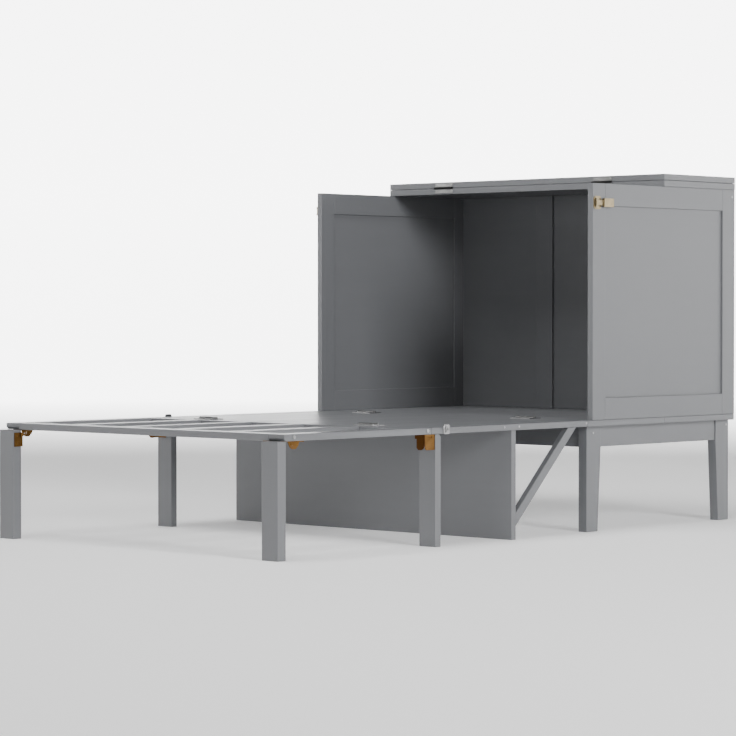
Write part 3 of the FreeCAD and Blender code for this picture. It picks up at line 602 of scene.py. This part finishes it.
add_screws("cabinet", BIG, nickel, leaf_screws(DOOR_Y, 1))
add_screws("mid_body", BIG, nickel, leaf_screws(DOOR_Y, -1) + leaf_screws(FOLD_Y, 1))
add_screws("foot_body", BIG, nickel, leaf_screws(FOLD_Y, -1))
add_screws("cabinet", SMALL, nickel, lid_screws(LID_FIXED_Z))
add_screws("lid_body", SMALL, nickel, lid_screws(LID_MOVING_Z))
for side, name in ((1, "right"), (-1, "left")):
    outward, inward = (side, 0, 0), (-side, 0, 0)
    add_screws("foot_leg_body_" + name, SHOE, brass,
               [((side * x, y, z), way) for (x, y), way in ((SHOE_BACK, TO_HEAD), (SHOE_INSIDE, inward))
                for z in SHOE_Z])
    add_screws("mid_leg_body_" + name, LEDGE, nickel,
               [((side * x, LEDGE_Y, z), TO_FOOT) for x in LEDGE_X for z in LEDGE_Z])
    add_screws("cabinet", SMALL, pale_brass,
               [((side * LATCH_FACE, y, z), outward) for y in LATCH_Y for z in LATCH_Z])
    add_screws("mid_body", SMALL, nickel,
               [((side * KEEPER_FACE, KEEPER_Y + offset, KEEPER_Z), outward) for offset in KEEPER_SCREWS])

# %% [markdown]
# ## Driving the screws
# Every list becomes a mesh of bare points, each with the way that its face looks, and the tree turns
# it into screws. The result is kept as one plain mesh for each body, size and plating, so the screws
# move with the leaf or plate that they hold.

# %% Drive them
SLOT_SHARE = 1.25


def driven(body, radius, finish, spots):
    """The plain mesh of one body's screws of one size and finish."""
    mesh = bpy.data.meshes.new(f"screw_points_{body}")
    mesh.from_pydata([place for place, way in spots], [], [])
    facing = mesh.attributes.new("facing", "FLOAT_VECTOR", "POINT")
    for index, (place, way) in enumerate(spots):
        facing.data[index].vector = way
    holder = bpy.data.objects.new(f"screws_{body}_{round(radius * 1e4)}_{finish.name}", mesh)
    bpy.context.scene.collection.objects.link(holder)
    nodes = holder.modifiers.new("screws", "NODES")
    nodes.node_group = set_screws
    nodes[socket_of["Radius"]] = radius
    nodes[socket_of["Slot Length"]] = radius * SLOT_SHARE
    nodes[socket_of["Finish"]] = finish
    solid = plain_mesh(holder)
    holder.modifiers.clear()
    holder.data = solid
    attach(holder, body)
    "brass" if finish == brass else "steel"
    return holder


sets = [driven(*key, spots) for key, spots in screws.items()]
print(len(sets), "sets,", sum(len(holder.data.polygons) for holder in sets), "faces")

# %% [markdown]
# ## Camera
# The camera stands where the straight edges of the decks and the cabinet put it: far off, a little
# above the deck, looking along the bed's diagonal. The distance keeps the perspective weak, as in the
# photograph, and from so far off it takes a long lens to fill the picture.

# %% Place the camera
CAMERA_AT = (5.6592, -6.1298, 0.6486)
LOOK_AZIMUTH, LOOK_DOWN = math.radians(43.0), math.radians(1.22)
LENS_MM, SENSOR_MM = 139.32, 36.0
SEES_TO = 100.0
camera_data = bpy.data.cameras.new("camera")
camera_data.sensor_width = SENSOR_MM
camera_data.lens = LENS_MM
camera_data.clip_end = SEES_TO
camera = bpy.data.objects.new("camera", camera_data)
camera.location = CAMERA_AT
camera.rotation_euler = (math.pi / 2 - LOOK_DOWN, 0.0, LOOK_AZIMUTH)
bpy.context.scene.collection.objects.link(camera)
bpy.context.scene.camera = camera
print("camera", [round(value, 3) for value in camera.location])

# %% [markdown]
# ## A floor that runs up into its backdrop
# A studio shows a large piece on a seamless sweep. This one is a shallow bowl, flat for twelve metres
# and then turned up into a low wall, so the camera finds no horizon. It is drawn as rings around the
# middle, joined ring to ring.

# %% Lay the floor
SWEEP_STEPS = 96
PROFILE = [(12.0, 0.0), (12.8, 0.08), (13.4, 0.35), (13.8, 0.8), (14.0, 1.5), (14.0, 3.4)]
points = [(0.0, 0.0, 0.0)]
for radius, height in PROFILE:
    for step in range(SWEEP_STEPS):
        angle = 2 * math.pi * step / SWEEP_STEPS
        points.append((radius * math.cos(angle), radius * math.sin(angle), height))
faces = [(0, 1 + step, 1 + (step + 1) % SWEEP_STEPS) for step in range(SWEEP_STEPS)]
for band in range(len(PROFILE) - 1):
    low = 1 + band * SWEEP_STEPS
    high = low + SWEEP_STEPS
    for step in range(SWEEP_STEPS):
        after = (step + 1) % SWEEP_STEPS
        faces.append((low + step, high + step, high + after, low + after))
sweep_mesh = bpy.data.meshes.new("floor")
sweep_mesh.from_pydata(points, [], faces)
for face in sweep_mesh.polygons:
    face.use_smooth = True
sweep = bpy.data.objects.new("floor", sweep_mesh)
bpy.context.scene.collection.objects.link(sweep)
print("floor and backdrop:", len(sweep_mesh.polygons), "faces")

# %% [markdown]
# ## A backdrop that is lit by itself
# A white backdrop needs lamps of its own, or it turns grey next to a grey bed. Here its outer part
# glows, as if by lamps behind it: the emission grows with the distance from the middle, and it is
# strongest past the head of the bed, where it can't light the faces that the camera sees. On the near
# side a bright floor would throw light up under the deck and into the cabinet, which are dark in the
# photograph, so only a faint even glow is left there.

# %% Light the backdrop
FLOOR_TONES = (0.80, 0.80, 0.80), (0.83, 0.83, 0.83)
FLOOR_CELLS, FLOOR_ROUGHNESS = 0.6, 0.9
BACKDROP_GLOW = 5.0
OUTER_SLOPE, OUTER_START = 0.13, -0.55
FAR_SLOPE, FAR_START = 0.12, 0.15
NEAR_SHARE, EVEN_GLOW = 0.02, 0.06


def of_vector(where, operation, *others):
    """The number that a Vector Math node makes of the coordinates and the other vectors."""
    sockets = {f"_{index}": value for index, value in enumerate(others, 1)}
    made = where.node("ShaderNodeVectorMath", {"operation": operation}, _0=where, **sockets)
    return Wire(where.tree, made.outputs["Value"])


floor_finish, shader, where = new_finish("pale_floor", metallic=0.0)
outer = of_vector(where, "LENGTH").ramp(OUTER_SLOPE, OUTER_START)
view_way = (-math.sin(LOOK_AZIMUTH), math.cos(LOOK_AZIMUTH), 0.0)
far_side = of_vector(where, "DOT_PRODUCT", view_way).ramp(FAR_SLOPE, FAR_START)
glow = blend_colour(outer * (NEAR_SHARE + far_side * (1 - NEAR_SHARE)) + EVEN_GLOW, (0, 0, 0), (1, 1, 1))
tone = blend_colour(noise(where, FLOOR_CELLS), *FLOOR_TONES)
where.tree.links.new(tone.socket, shader.inputs["Base Color"])
where.tree.links.new(glow.socket, shader.inputs["Emission Color"])
shader.inputs["Roughness"].default_value = FLOOR_ROUGHNESS
shader.inputs["Emission Strength"].default_value = BACKDROP_GLOW
sweep_mesh.materials.append(floor_finish)
print("the glow starts", round(-OUTER_START / OUTER_SLOPE, 1), "m from the middle")

# %% [markdown]
# ## Light
# The shadow of the lid on the far side panel gives the key light away: it comes from the near side
# and a little from the foot, not steeply, so the near sides are the brightest faces and the top of
# the cabinet's inside stays dark. A weaker fill from above models the deck, and the world adds only
# a little light from all round. Both lamps are large, so that the shadows are soft, and both are aimed
# at the middle of the bed.

# %% Set the lights
MIDDLE = Vector((0.0, 0.0, 0.45))
KEY_AT, KEY_SIZE, KEY_WATTS = (6.9, -1.9, 3.1), 2.0, 435
FILL_AT, FILL_SIZE, FILL_WATTS = (0.2, -1.6, 5.2), 3.0, 250
WORLD_STRENGTH = 0.02


def soft_light(name, place, size, watts):
    """A square area light that faces the middle of the bed."""
    data = bpy.data.lights.new(name, "AREA")
    data.size = size
    data.energy = watts
    light = bpy.data.objects.new(name, data)
    light.location = place
    light.rotation_euler = (MIDDLE - Vector(place)).to_track_quat("-Z", "Y").to_euler()
    bpy.context.scene.collection.objects.link(light)


soft_light("key", KEY_AT, KEY_SIZE, KEY_WATTS)
soft_light("fill", FILL_AT, FILL_SIZE, FILL_WATTS)
world = bpy.data.worlds.new("studio")
bpy.context.scene.world = world
world.use_nodes = True
background = world.node_tree.nodes["Background"].inputs
background["Color"].default_value = (1, 1, 1, 1)
background["Strength"].default_value = WORLD_STRENGTH
print("a key, a fill and a faint world")
